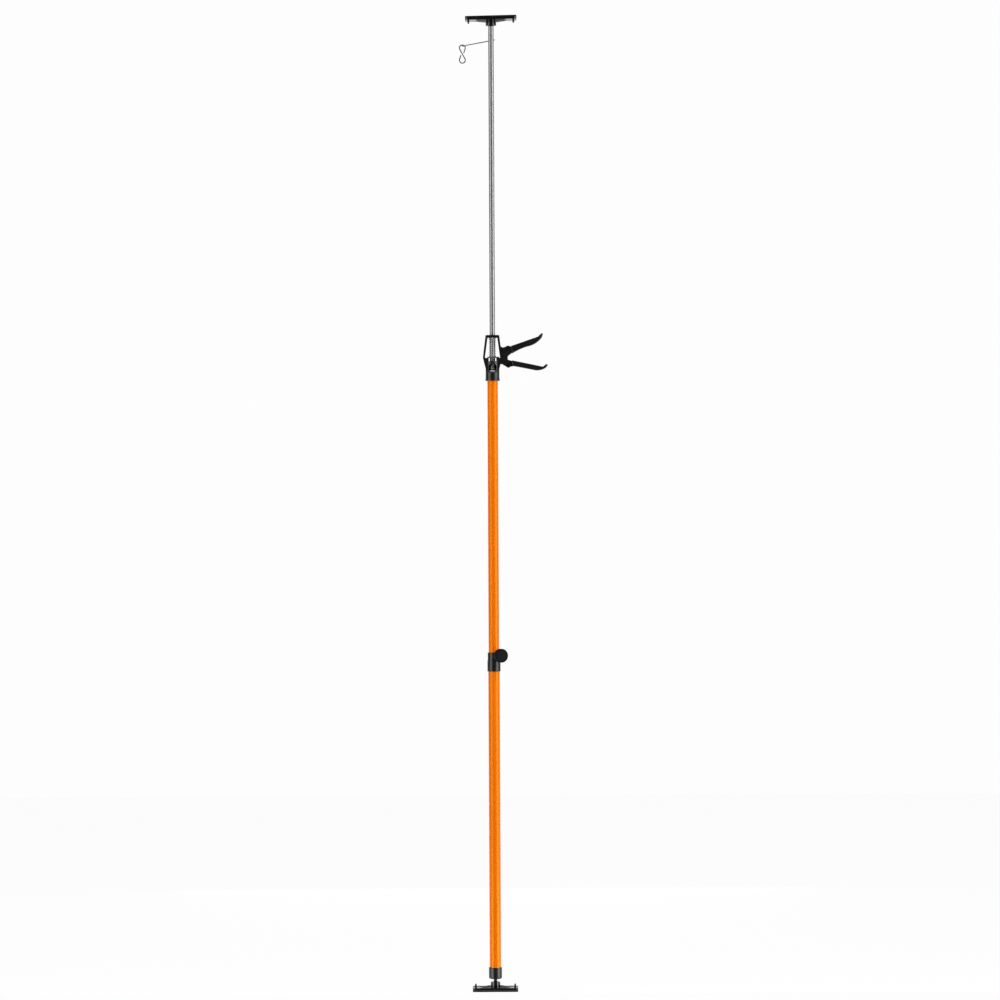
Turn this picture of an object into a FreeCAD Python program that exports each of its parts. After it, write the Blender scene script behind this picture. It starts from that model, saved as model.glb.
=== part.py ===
import FreeCAD, Part
import math
import os
import Sketcher

# Telescopic prop, millimetres. Origin: centre of the foot pad's underside, on the tube axis.
# +Z is up, +X points to the handles, and the clamp knob's side (-Y) is the front.

SIZES = (
    # Foot, from the floor up.
    ("foot_length", 135, "foot plate along X"),
    ("foot_width", 62, "foot plate along Y"),
    ("plate_corner", 9, "corner radius of both plates"),
    ("pad_thick", 4, "rubber pad of both plates"),
    ("foot_plate_thick", 6.4, "moulded foot plate"),
    ("foot_hub_diameter", 28.5, "ball hub of the foot"),
    ("foot_hub_height", 16.6, "hub above the plate"),
    ("foot_ball_rise", 7.8, "ball centre above the plate"),
    ("foot_gusset_reach", 52, "foot gussets from the axis"),
    ("foot_gusset_height", 6.5, "foot gussets at the hub"),
    ("gusset_thick", 2.6, "gussets of both plates"),
    ("gusset_angle", 22, "gussets from the plates' long axes"),
    ("lip_height", 1.2, "lip round the foot plate"),
    ("lip_thick", 2, "lip round the foot plate"),
    ("foot_tail_inset", 8.9, "tails from the foot plate's ends"),
    ("tail_diameter", 6, "rubber tail at the plate"),
    ("tail_tip", 4.2, "rubber tail at its end"),
    ("foot_tail_length", 8.7, "foot's rubber tails beyond their holes"),
    ("head_tail_length", 6.5, "head's rubber tails beyond their holes"),
    ("tail_spread", 38, "tails apart along Y"),
    # Ball joints.
    ("ball_diameter", 18, "both balls"),
    ("liner_thick", 1, "ball liner"),
    ("ball_fit", 0.05, "clearance on every sliding sphere"),
    ("neck_diameter", 9, "stud neck at the ball"),
    ("foot_tilt", 21.5, "foot's largest tilt, both axes together"),
    ("head_tilt", 17.5, "head's largest tilt, both axes together"),
    ("seat_drop", 4, "ball seat's rim from the ball centre"),
    # Foot cap, lower tube and clamp.
    ("cap_gap", 9.6, "foot hub to cap"),
    ("stud_diameter", 10.7, "stud under the cap"),
    ("shank_diameter", 8, "stud shank in the cap"),
    ("shank_fit", 0.06, "running clearance of the shank"),
    ("stud_head_diameter", 14, "riveted head of the stud"),
    ("stud_head_thick", 3, "riveted head of the stud"),
    ("cap_diameter", 39, "cap outside"),
    ("cap_height", 33.8, "cap outside"),
    ("cap_floor", 9.8, "cap under the tube"),
    ("cap_round", 4, "lower edge of the cap"),
    ("lower_tube_diameter", 34, "lower tube outside"),
    ("lower_tube_length", 935, "lower tube"),
    ("tube_wall", 1, "both tubes"),
    ("collar_wall", 2.5, "clamp collar"),
    ("collar_skirt", 33, "collar part on the lower tube"),
    ("collar_shoulder", 2.5, "collar over the tube's end"),
    ("collar_neck", 23, "collar part on the upper tube"),
    ("clamp_height", 14.9, "clamp screw above the collar's shoulder"),
    ("tube_play", 0.3, "collar bore round the upper tube"),
    ("edge_bevel", 1, "bevel on collar and cap edges"),
    ("knob_azimuth", 25, "clamp screw from the front, towards the handles"),
    ("boss_diameter", 20, "screw boss"),
    ("boss_reach", 38, "screw boss from the tube axis"),
    ("clamp_screw_diameter", 8, "clamp screw"),
    ("clamp_nose_diameter", 6, "nose of the screw in the pad"),
    ("thread_fit", 0.06, "screw in its nut"),
    ("nut_flats", 13, "clamp nut across flats"),
    ("nut_thick", 6.5, "clamp nut"),
    ("nut_seat", 28.7, "nut's outer face from the tube axis"),
    ("clamp_pad_diameter", 11, "pressure pad"),
    ("clamp_pad_thick", 3.5, "pressure pad"),
    ("clamp_pad_gap", 0.3, "pad to upper tube"),
    ("nose_depth", 2, "screw nose in the pad"),
    ("knob_diameter", 41, "clamp knob"),
    ("knob_thick", 16, "clamp knob"),
    ("knob_face", 57.6, "knob's face from the tube axis"),
    ("knob_round", 3, "rim of the knob's face"),
    ("knob_wall", 4, "skirt of the knob"),
    ("knob_hollow", 7, "hollow in the knob's back"),
    ("knob_hub_diameter", 18, "hub in the knob's back"),
    # Upper tube and its guide.
    ("upper_tube_diameter", 31.4, "upper tube outside"),
    ("upper_tube_length", 974, "upper tube"),
    ("tube_overlap", 116.4, "upper tube inside the lower when drawn out"),
    ("guide_flange", 5, "guide under the upper tube"),
    ("guide_spigot", 25, "guide inside the upper tube"),
    ("guide_wall", 3, "guide spigot"),
    ("guide_fit", 0.1, "guides in their tubes"),
    ("spigot_fit", 0.05, "spigots in their tubes"),
    # Grip body.
    ("grip_height", 136, "socket and cage"),
    ("socket_wall", 4.9, "socket round the upper tube"),
    ("bead_thick", 0.8, "bead at the socket's mouth"),
    ("bead_height", 7, "bead at the socket's mouth"),
    ("tube_seat", 24, "upper tube inside the socket"),
    ("chamber_diameter", 28, "lock chamber"),
    ("chamber_top", 53.5, "lock chamber ceiling"),
    ("web_top", 58, "top of the web over the chamber"),
    ("rod_hole_play", 0.5, "rod in the web"),
    ("release_window", 24, "release window width"),
    ("ledge_height", 68, "ledges under the drive plate"),
    ("ledge_gap", 22.6, "gap between the ledges"),
    ("taper_start", 30.8, "where the cage leaves the socket"),
    ("shoulder_height", 67, "widest place of the cage"),
    ("shoulder_width", 56.6, "cage at its widest"),
    ("leg_thick", 6, "cage leg"),
    ("top_bar", 8, "cage top bar"),
    ("cage_depth", 30, "cage along Y"),
    ("cage_round", 3, "upper corners of the cage"),
    ("cheek_width", 26, "over both cheeks"),
    ("slot_width", 18, "between the cheeks"),
    ("slot_top", 107, "slot through the right leg"),
    ("floor_reach", 30, "bracket floor from the rod axis"),
    ("pivot_reach", 46.5, "trigger pivot from the rod axis"),
    ("pivot_height", 94.4, "trigger pivot above the socket's mouth"),
    ("cheek_round", 8.5, "cheeks round the pivot"),
    ("handle_pin_reach", 47, "fixed handle's pin from the rod axis"),
    ("handle_pin_height", 47, "fixed handle's pin above the socket's mouth"),
    ("handle_boss", 8, "fixed handle's boss radius"),
    ("crotch_reach", 45.5, "cheeks between the handles"),
    ("pin_diameter", 5, "both pins"),
    ("pin_head", 9, "pin heads"),
    ("pin_head_thick", 1.6, "pin heads"),
    ("pin_fit", 0.05, "trigger on its pin"),
    ("bush_diameter", 19, "bush in the top bar"),
    ("bush_drop", 2, "bush under the top bar"),
    ("rivet_diameter", 4, "rivet through the socket"),
    # Handles.
    ("trigger_boss", 10, "trigger boss radius"),
    ("lug_play", 0.2, "lugs beside each cheek"),
    ("handle_width", 24, "both handles along Y"),
    ("handle_round", 3, "edges of the handles"),
    ("trigger_reach", 150.5, "trigger tip from the rod axis"),
    ("handle_reach", 164.5, "fixed handle's tip from the rod axis"),
    ("toe_reach", 18, "trigger toe from the rod axis"),
    ("toe_thick", 4.5, "trigger toe"),
    # Drive and lock.
    ("plate_thick", 3, "drive and lock plates"),
    ("plate_width", 22, "drive and lock plates along Y and X"),
    ("drive_left", 15, "drive plate towards -X"),
    ("drive_right", 20, "drive plate towards +X"),
    ("seat_play", 0.3, "small clearance between moving faces"),
    ("plate_hole_play", 0.4, "plates round the rod"),
    ("lock_angle", 6, "lock plate's slope when it grips"),
    ("lock_height", 32, "lock plate's rear edge above the socket's mouth"),
    ("lock_rear", 12, "lock plate behind the rod axis"),
    ("lock_tongue", 22, "lock plate's tongue in front of the rod axis"),
    ("tongue_width", 16, "lock plate's tongue"),
    ("spring_play", 0.25, "springs round the rod"),
    ("drive_wire", 2, "drive spring wire"),
    ("drive_coils", 9, "drive spring coils"),
    ("lock_wire", 1.2, "lock spring wire"),
    ("lock_coils", 3.5, "lock spring coils"),
    # Rod, hook and head.
    ("rod_diameter", 16, "push rod outside"),
    ("rod_wall", 1.5, "push rod"),
    ("rod_length", 1109.4, "push rod"),
    ("rod_overlap", 190, "rod below the cage's top when drawn out"),
    ("rod_play", 0.1, "rod in its bush"),
    ("rod_bevel", 1, "rod's upper edge"),
    ("rod_guide_flange", 6, "guide under the rod"),
    ("rod_guide_spigot", 20, "guide inside the rod"),
    ("arm_drop", 43, "hook arm below the rod's end"),
    ("arm_slope", 10.6, "hook arm's fall"),
    ("arm_wire", 3, "hook arm wire"),
    ("arm_stub", 11.5, "hook arm beyond the rod axis"),
    ("eye_reach", 80.7, "hook arm's eye from the rod axis"),
    ("eye_radius", 6, "hook arm's eye, at the wire's centre"),
    ("hook_wire", 3.2, "S-hook wire"),
    ("hook_radius", 8.7, "S-hook loops, at the wire's centre"),
    ("hook_pitch", 36.5, "S-hook loops apart"),
    ("hook_tail", 13, "S-hook's straight ends"),
    ("hook_mouth", 18, "slope of the S-hook's straight ends"),
    ("head_length", 153, "head plate along X"),
    ("head_width", 58, "head plate along Y"),
    ("head_plate_thick", 7.4, "moulded head plate"),
    ("head_hub_diameter", 29, "head hub at the plate"),
    ("head_hub_flare", 32, "head hub at its mouth"),
    ("head_hub_height", 16.2, "head hub"),
    ("head_mouth", 25.6, "mouth of the head hub"),
    ("head_ball_rise", 11.6, "ball centre above the rod's end"),
    ("head_ball_depth", 6, "ball centre under the plate"),
    ("head_shank", 30, "head stud inside the rod"),
    ("head_gusset_reach", 52, "head gussets from the rod axis"),
    ("head_gusset_drop", 6.5, "head gussets at the hub"),
    ("head_tail_inset", 9.5, "tails from the head plate's ends"),
    ("head_lean", 1.2, "head plate's lean in its loose ball joint"),
)

doc = FreeCAD.newDocument("telescopic_prop")
sheet = doc.addObject("Spreadsheet::Sheet", "Sizes")
for row, (alias, value, note) in enumerate(SIZES, start=1):
    sheet.set("A%d" % row, alias)
    sheet.set("B%d" % row, str(value))
    sheet.setAlias("B%d" % row, alias)
    sheet.set("C%d" % row, note)
doc.recompute()

pieces = []


class Size:
    """A measure with its present value and the sheet formula that drives it."""

    def __init__(self, value, formula):
        self.value = value
        self.formula = formula

    def joined(self, other, sign, value):
        return Size(value, "(%s %s %s)" % (self.formula, sign, other.formula))

    def __add__(self, other):
        other = measure(other)
        return self.joined(other, "+", self.value + other.value)

    def __sub__(self, other):
        other = measure(other)
        return self.joined(other, "-", self.value - other.value)

    def __mul__(self, other):
        other = measure(other)
        return self.joined(other, "*", self.value * other.value)

    def __truediv__(self, other):
        other = measure(other)
        return self.joined(other, "/", self.value / other.value)

    def __rsub__(self, other):
        return measure(other) - self

    def __neg__(self):
        return Size(-self.value, "(-1 * %s)" % self.formula)

    __radd__ = __add__
    __rmul__ = __mul__


class SizeTable:
    """The sheet's sizes as attributes: s.knob_diameter and so on."""

    def __getattr__(self, alias):
        return Size(float(sheet.get(alias)), "Sizes." + alias)


s = SizeTable()


def measure(number):
    """A Size as it is, or a plain number made into one."""
    if isinstance(number, Size):
        return number
    return Size(float(number), "%.9g" % number)


def sine(angle):
    return Size(math.sin(math.radians(angle.value)), "sin(%s)" % angle.formula)


def cosine(angle):
    return Size(math.cos(math.radians(angle.value)), "cos(%s)" % angle.formula)


def arcsine(ratio):
    return Size(math.degrees(math.asin(ratio.value)), "asin(%s) / 1 deg" % ratio.formula)


def root(square):
    return Size(math.sqrt(square.value), "sqrt(%s)" % square.formula)


def bind(thing, prop, amount):
    """Drive a property of a document object by a sheet formula."""
    thing.setExpression(prop, measure(amount).formula)


def place(thing, x=0, y=0, z=0, yaw=0, pitch=0, roll=0):
    """Put an object at x, y, z, turned about X (roll), then Y (pitch), then Z (yaw)."""
    parts = tuple(measure(part).formula for part in (x, y, z, yaw, pitch, roll))
    thing.setExpression("Placement", "placement(vector(%s; %s; %s); rotation(%s; %s; %s))" % parts)


def named(thing, label):
    """List an object as the sub-part called label."""
    thing.Label = label
    pieces.append(thing)
    return thing


def new_body(label):
    return named(doc.addObject("PartDesign::Body", label), label)


def origin_feature(body, role):
    return [feature for feature in body.Origin.OriginFeatures if feature.Role == role][0]


def new_sketch(body, plane, lift=0):
    """A sketch on one of the body's origin planes, moved along that plane's normal."""
    sketch = body.newObject("Sketcher::SketchObject", body.Label + "_sketch")
    sketch.AttachmentSupport = [(origin_feature(body, plane), "")]
    sketch.MapMode = "FlatFace"
    bind(sketch, "AttachmentOffset.Base.z", lift)
    return sketch


def pin_point(sketch, edge, end, point):
    """Hold one end of a sketch edge at a point whose two sizes come from the sheet."""
    for kind, amount in zip(("DistanceX", "DistanceY"), point):
        index = sketch.addConstraint(Sketcher.Constraint(kind, -1, 1, edge, end, amount.value))
        bind(sketch, "Constraints[%d]" % index, amount)


def draw_edge(sketch, start, finish, radius):
    """A line, or an arc that turns left (radius above 0) or right; returns its end numbers."""
    a = FreeCAD.Vector(start[0].value, start[1].value, 0)
    b = FreeCAD.Vector(finish[0].value, finish[1].value, 0)
    if radius is None:
        edge = sketch.addGeometry(Part.LineSegment(a, b), False)
        return edge, 1, 2
    chord = b - a
    left = FreeCAD.Vector(-chord.y, chord.x, 0).normalize() * math.copysign(1, radius.value)
    bow = abs(radius.value)
    centre = (a + b) / 2 + left * math.sqrt(max(bow ** 2 - chord.Length ** 2 / 4, 0))
    edge = sketch.addGeometry(Part.Arc(a, centre - left * bow, b), False)
    if radius.value > 0:
        return edge, 1, 2
    return edge, 2, 1


def draw(sketch, points, closed=True):
    """Join points by lines, or by an arc where a point carries a third number, its radius."""
    corners = [tuple(measure(part) for part in point) for point in points]
    count = len(corners) if closed else len(corners) - 1
    edges = []
    for index in range(count):
        corner = corners[index]
        follower = corners[(index + 1) % len(corners)]
        radius = corner[2] if len(corner) > 2 else None
        edges.append(draw_edge(sketch, corner, follower, radius) + (radius,))
    for index, (edge, first, last, radius) in enumerate(edges):
        pin_point(sketch, edge, first, corners[index][:2])
        if index + 1 < count or closed:
            after = edges[(index + 1) % count]
            sketch.addConstraint(Sketcher.Constraint("Coincident", edge, last, after[0], after[1]))
        else:
            pin_point(sketch, edge, last, corners[index + 1][:2])
        if radius is not None:
            bow = radius if radius.value > 0 else -radius
            held = sketch.addConstraint(Sketcher.Constraint("Radius", edge, bow.value))
            bind(sketch, "Constraints[%d]" % held, bow)
    return sketch


def draw_circle(sketch, x, y, radius):
    """A full circle whose centre and radius come from the sheet."""
    x, y, radius = measure(x), measure(y), measure(radius)
    centre = FreeCAD.Vector(x.value, y.value, 0)
    ring = Part.Circle(centre, FreeCAD.Vector(0, 0, 1), radius.value)
    edge = sketch.addGeometry(ring, False)
    pin_point(sketch, edge, 3, (x, y))
    held = sketch.addConstraint(Sketcher.Constraint("Radius", edge, radius.value))
    bind(sketch, "Constraints[%d]" % held, radius)
    return sketch


def rounded_rectangle(length, width, corner):
    """Points of a rectangle about the origin with round corners, anticlockwise."""
    x = length / 2
    y = width / 2
    return (
        (corner - x, -y), (x - corner, -y, corner), (x, corner - y), (x, y - corner, corner),
        (x - corner, y), (corner - x, y, corner), (-x, y - corner), (-x, corner - y, corner),
    )


def pad(body, sketch, length, both_ways=False, back=False):
    feature = body.newObject("PartDesign::Pad", body.Label + "_pad")
    feature.Profile = sketch
    bind(feature, "Length", length)
    feature.Midplane = both_ways
    feature.Reversed = back
    return feature


def pocket(body, sketch, length, both_ways=False, back=False):
    feature = body.newObject("PartDesign::Pocket", body.Label + "_pocket")
    feature.Profile = sketch
    bind(feature, "Length", length)
    feature.Midplane = both_ways
    feature.Reversed = back
    return feature


def turn(body, points, cut=False):
    """Revolve an outline of radius and height about the body's Z axis, to add or to cut."""
    kind = "PartDesign::Groove" if cut else "PartDesign::Revolution"
    sketch = draw(new_sketch(body, "XZ_Plane"), points)
    feature = body.newObject(kind, body.Label + "_turned")
    feature.Profile = sketch
    feature.ReferenceAxis = (sketch, ["V_Axis"])
    feature.Angle = 360
    return feature


def tube(label, diameter, wall, length, z):
    """A plain round tube standing on the height z."""
    body = new_body(label)
    sketch = draw_circle(new_sketch(body, "XY_Plane"), 0, 0, diameter / 2)
    draw_circle(sketch, 0, 0, diameter / 2 - wall)
    pad(body, sketch, length)
    place(body, z=z)
    return body


def soften(body, feature, depth, radius):
    """Round the edges of a padded outline on its two side faces, at Y = +-depth / 2."""
    doc.recompute()
    half = depth.value / 2
    names = []
    for index, edge in enumerate(feature.Shape.Edges, start=1):
        box = edge.BoundBox
        if abs(abs(box.YMin) - half) < 1e-6 and abs(box.YMax - box.YMin) < 1e-6:
            names.append("Edge%d" % index)
    fillet = body.newObject("PartDesign::Fillet", body.Label + "_rounding")
    fillet.Base = (feature, names)
    bind(fillet, "Radius", radius)
    return fillet


# Heights from the floor up, all worked out from the sheet.
foot_top = s.pad_thick + s.foot_plate_thick
foot_ball_z = foot_top + s.foot_ball_rise
cap_z = foot_top + s.foot_hub_height + s.cap_gap
lower_tube_z = cap_z + s.cap_floor
collar_z = lower_tube_z + s.lower_tube_length - s.collar_skirt + s.collar_shoulder
collar_height = s.collar_skirt + s.collar_neck
clamp_z = collar_z + s.collar_skirt + s.clamp_height
upper_tube_z = lower_tube_z + s.lower_tube_length - s.tube_overlap
grip_z = upper_tube_z + s.upper_tube_length - s.tube_seat
rod_z = grip_z + s.grip_height - s.rod_overlap
rod_top = rod_z + s.rod_length
arm_z = rod_top - s.arm_drop
head_ball_z = rod_top + s.head_ball_rise

# Radii that several pieces share.
ball = s.ball_diameter / 2
liner_inside = ball + s.ball_fit
liner_outside = liner_inside + s.liner_thick
socket_sphere = liner_outside + s.ball_fit
neck = s.neck_diameter / 2
neck_angle = arcsine(neck / ball)
neck_rise = root(ball * ball - neck * neck)
rod = s.rod_diameter / 2
lower_inside = s.lower_tube_diameter / 2 - s.tube_wall
upper_inside = s.upper_tube_diameter / 2 - s.tube_wall
rod_inside = rod - s.rod_wall
socket = s.upper_tube_diameter / 2 + s.socket_wall
tail = s.tail_diameter / 2


def on_circle(radius, angle):
    """Radius and height of the point on a circle about the origin, angle down from the pole."""
    return radius * sine(angle), radius * cosine(angle)


def ball_liner(label, tilt):
    """Thin bowl round the ball, open towards the neck by the neck's and the tilt's angle."""
    body = new_body(label)
    mouth = neck_angle + tilt
    inner_x, inner_z = on_circle(liner_inside, mouth)
    outer_x, outer_z = on_circle(liner_outside, mouth)
    turn(body, (
        (0, -liner_outside, liner_outside), (liner_outside, 0, liner_outside), (outer_x, outer_z),
        (inner_x, inner_z, -liner_inside), (liner_inside, 0, -liner_inside), (0, -liner_inside),
    ))
    return body


def ball_seat(label, base):
    """Plug that closes the hub behind the ball; base is its flat end from the ball centre."""
    body = new_body(label)
    rim = root(socket_sphere * socket_sphere - s.seat_drop * s.seat_drop)
    turn(body, (
        (0, base), (socket_sphere, base), (socket_sphere, -s.seat_drop),
        (rim, -s.seat_drop, -socket_sphere), (0, -socket_sphere),
    ))
    return body


def hub_cavity(body, tilt, base, mouth_height, mouth_radius):
    """Cut the ball's room into a hub: bore for the seat, sphere, and a flared mouth."""
    throat_x, throat_z = on_circle(socket_sphere, neck_angle + tilt)
    turn(body, (
        (0, base), (socket_sphere, base), (socket_sphere, 0, socket_sphere), (throat_x, throat_z),
        (mouth_radius, mouth_height), (0, mouth_height),
    ), cut=True)


def tail_places(length, inset):
    """The four places of the rubber tails on a plate of this length."""
    x = length / 2 - inset
    y = s.tail_spread / 2
    return [(x * along, y * across) for along in (-1, 1) for across in (-1, 1)]


def rubber_pad(label, length, width, places, base, hole_depth, tail_length):
    """Rubber sole under a plate's base, with four tails pulled through holes of this depth."""
    body = new_body(label)
    outline = rounded_rectangle(length, width, s.plate_corner)
    pad(body, draw(new_sketch(body, "XY_Plane", base - s.pad_thick), outline), s.pad_thick)
    for x, y in places:
        pad(body, draw_circle(new_sketch(body, "XY_Plane", base), x, y, tail), hole_depth)
        wide = draw_circle(new_sketch(body, "XY_Plane", base + hole_depth), x, y, tail)
        end_lift = base + hole_depth + tail_length
        narrow = draw_circle(new_sketch(body, "XY_Plane", end_lift), x, y, s.tail_tip / 2)
        taper = body.newObject("PartDesign::AdditiveLoft", label + "_tail")
        taper.Profile = wide
        taper.Sections = [narrow]
    return body


def drill_tails(body, places, base, depth):
    """Holes for the rubber tails through a plate, from its base up."""
    for x, y in places:
        hole = draw_circle(new_sketch(body, "XY_Plane", base), x, y, tail)
        pocket(body, hole, depth, back=True)


def moulded_plate(label, length, width, base, top, mouth, hub, flare):
    """Slab and a hub of radius hub, or flare at its mouth, about the ball centre."""
    body = new_body(label)
    outline = rounded_rectangle(length, width, s.plate_corner)
    pad(body, draw(new_sketch(body, "XY_Plane", base), outline), top - base)
    turn(body, ((0, base), (hub, base), (hub, top), (flare, mouth), (0, mouth)))
    return body


def gussets(body, hub, top, height, reach):
    """Two crossed straight webs from the hub down to the slab near its corners."""
    web = ((-reach, top), (reach, top), (hub, top + height), (-hub, top + height))
    for side in (-1, 1):
        sketch = new_sketch(body, "XZ_Plane")
        sketch.setExpression("AttachmentOffset", "placement(vector(0; 0; 0); rotation(vector(0; 1; 0); %s))"
                             % (s.gusset_angle * side).formula)
        pad(body, draw(sketch, web), s.gusset_thick, both_ways=True)


def foot_plate(base, places):
    """Moulded foot about the ball centre: slab with a lip, straight hub, gussets and the ball's room."""
    top = base + s.foot_plate_thick
    mouth = top + s.foot_hub_height
    hub = s.foot_hub_diameter / 2
    body = moulded_plate("foot_plate", s.foot_length, s.foot_width, base, top, mouth, hub, hub)
    lip = new_sketch(body, "XY_Plane", top)
    draw(lip, rounded_rectangle(s.foot_length, s.foot_width, s.plate_corner))
    edge = s.lip_thick * 2
    draw(lip, rounded_rectangle(s.foot_length - edge, s.foot_width - edge, s.plate_corner - s.lip_thick))
    pad(body, lip, s.lip_height)
    gussets(body, hub, top, s.foot_gusset_height, s.foot_gusset_reach)
    drill_tails(body, places, base, s.foot_plate_thick)
    hub_cavity(body, s.foot_tilt, base, mouth, socket_sphere)
    return body


def head_plate(base, places):
    """Moulded head about the ball centre, hub up: slab, flared hub, gussets and the ball's room."""
    top = base + s.head_plate_thick
    mouth = top + s.head_hub_height
    hub = s.head_hub_diameter / 2
    flare = s.head_hub_flare / 2
    body = moulded_plate("head_plate", s.head_length, s.head_width, base, top, mouth, hub, flare)
    gussets(body, hub, top, s.head_gusset_drop, s.head_gusset_reach)
    drill_tails(body, places, base, s.head_plate_thick)
    hub_cavity(body, s.head_tilt, base, mouth, s.head_mouth / 2)
    return body


def foot():
    """Ball stud, liner, plate, seat and rubber sole of the foot."""
    base = -s.foot_ball_rise - s.foot_plate_thick
    places = tail_places(s.foot_length, s.foot_tail_inset)
    stud = new_body("foot_ball_stud")
    swell = s.foot_hub_height - s.foot_ball_rise + s.cap_gap / 2
    shoulder = cap_z - foot_ball_z
    rivet = shoulder + s.cap_floor
    bulge = s.stud_diameter / 2
    shank = s.shank_diameter / 2
    rivet_head = s.stud_head_diameter / 2
    turn(stud, (
        (0, -ball, ball), (ball, 0, ball), (neck, neck_rise), (bulge, swell), (bulge, shoulder),
        (shank, shoulder), (shank, rivet), (rivet_head, rivet),
        (rivet_head, rivet + s.stud_head_thick), (0, rivet + s.stud_head_thick),
    ))
    for part in (
        stud,
        ball_liner("foot_ball_liner", s.foot_tilt),
        foot_plate(base, places),
        ball_seat("foot_ball_seat", base),
        rubber_pad("foot_pad", s.foot_length, s.foot_width, places, base,
                   s.foot_plate_thick, s.foot_tail_length),
    ):
        place(part, z=foot_ball_z)


def foot_cap():
    """Moulded cup on the lower tube's end, with a bored floor for the ball stud."""
    body = new_body("foot_cap")
    outside = s.cap_diameter / 2
    bore = s.shank_diameter / 2 + s.shank_fit
    inside = s.lower_tube_diameter / 2
    turn(body, (
        (bore, 0), (outside - s.cap_round, 0, s.cap_round), (outside, s.cap_round),
        (outside, s.cap_height - s.edge_bevel), (outside - s.edge_bevel, s.cap_height),
        (inside, s.cap_height), (inside, s.cap_floor), (bore, s.cap_floor),
    ))
    place(body, z=cap_z)


def hexagon(flats, height):
    """Corners of a hexagon of this width across flats, about X = 0 at this height."""
    corner = flats / math.sqrt(3)
    half = flats / 2
    return (
        (corner, height), (corner / 2, height + half), (-corner / 2, height + half),
        (-corner, height), (-corner / 2, height - half), (corner / 2, height - half),
    )


def clamp():
    """Collar with its screw boss, nut, pressure pad, screw and knob."""
    collar = new_body("clamp_collar")
    skirt = s.lower_tube_diameter / 2 + s.collar_wall
    bore = s.upper_tube_diameter / 2 + s.tube_play
    throat = bore + s.collar_wall
    boss_height = s.collar_skirt + s.clamp_height
    seat = s.collar_skirt - s.collar_shoulder
    bore_top = collar_height + s.boss_diameter / 2
    boss = draw_circle(new_sketch(collar, "XZ_Plane"), 0, boss_height, s.boss_diameter / 2)
    pad(collar, boss, s.boss_reach)
    turn(collar, (
        (0, 0), (skirt, 0), (skirt, s.collar_skirt - s.edge_bevel), (throat, s.collar_skirt),
        (throat, collar_height - s.edge_bevel), (throat - s.edge_bevel, collar_height), (0, collar_height),
    ))
    turn(collar, (
        (0, 0), (s.lower_tube_diameter / 2, 0), (s.lower_tube_diameter / 2, seat), (bore, seat),
        (bore, bore_top), (0, bore_top),
    ), cut=True)
    nut_room = draw(new_sketch(collar, "XZ_Plane"), hexagon(s.nut_flats, boss_height))
    pocket(collar, nut_room, s.nut_seat, back=True)
    thread = s.clamp_screw_diameter / 2
    hole = draw_circle(new_sketch(collar, "XZ_Plane"), 0, boss_height, thread + s.seat_play)
    pocket(collar, hole, s.boss_reach, back=True)
    place(collar, z=collar_z, yaw=s.knob_azimuth)

    nut = new_body("clamp_nut")
    blank = draw(new_sketch(nut, "XY_Plane", s.nut_seat - s.nut_thick), hexagon(s.nut_flats, 0))
    draw_circle(blank, 0, 0, thread + s.thread_fit)
    pad(nut, blank, s.nut_thick)

    shoe = new_body("clamp_pad")
    face = s.upper_tube_diameter / 2 + s.clamp_pad_gap
    rear = face + s.clamp_pad_thick
    nose = s.clamp_nose_diameter / 2
    shoe_radius = s.clamp_pad_diameter / 2
    nose_room = rear - s.nose_depth
    turn(shoe, (
        (0, face), (shoe_radius, face), (shoe_radius, rear), (nose + s.thread_fit, rear),
        (nose + s.thread_fit, nose_room), (0, nose_room),
    ))

    screw = new_body("clamp_screw")
    knob_back = s.knob_face - s.knob_thick
    screw_end = s.knob_face - s.knob_thick / 2
    turn(screw, (
        (0, nose_room + s.thread_fit), (nose, nose_room + s.thread_fit), (nose, rear + s.seat_play),
        (thread, rear + s.seat_play), (thread, screw_end), (0, screw_end),
    ))

    knob = new_body("clamp_knob")
    rim = s.knob_diameter / 2
    hub = s.knob_hub_diameter / 2
    hollow = knob_back + s.knob_hollow
    turn(knob, (
        (thread, knob_back), (hub, knob_back), (hub, hollow), (rim - s.knob_wall, hollow),
        (rim - s.knob_wall, knob_back), (rim, knob_back), (rim, s.knob_face - s.knob_round, s.knob_round),
        (rim - s.knob_round, s.knob_face), (0, s.knob_face), (0, screw_end), (thread, screw_end),
    ))
    for part in (nut, shoe, screw, knob):
        place(part, z=clamp_z, yaw=s.knob_azimuth, roll=90)


def upper_tube():
    """Upper tube with its rivet hole, and the guide that it stands on."""
    body = tube("upper_tube", s.upper_tube_diameter, s.tube_wall, s.upper_tube_length, upper_tube_z)
    height = s.upper_tube_length - s.tube_seat / 2
    hole = draw_circle(new_sketch(body, "XZ_Plane"), 0, height, s.rivet_diameter / 2)
    pocket(body, hole, s.upper_tube_diameter)

    guide = new_body("tube_guide")
    flange = lower_inside - s.guide_fit
    spigot = upper_inside - s.spigot_fit
    bore = spigot - s.guide_wall
    top = s.guide_flange + s.guide_spigot
    turn(guide, (
        (bore, 0), (flange, 0), (flange, s.guide_flange), (spigot, s.guide_flange), (spigot, top),
        (bore, top),
    ))
    place(guide, z=upper_tube_z - s.guide_flange)


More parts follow.
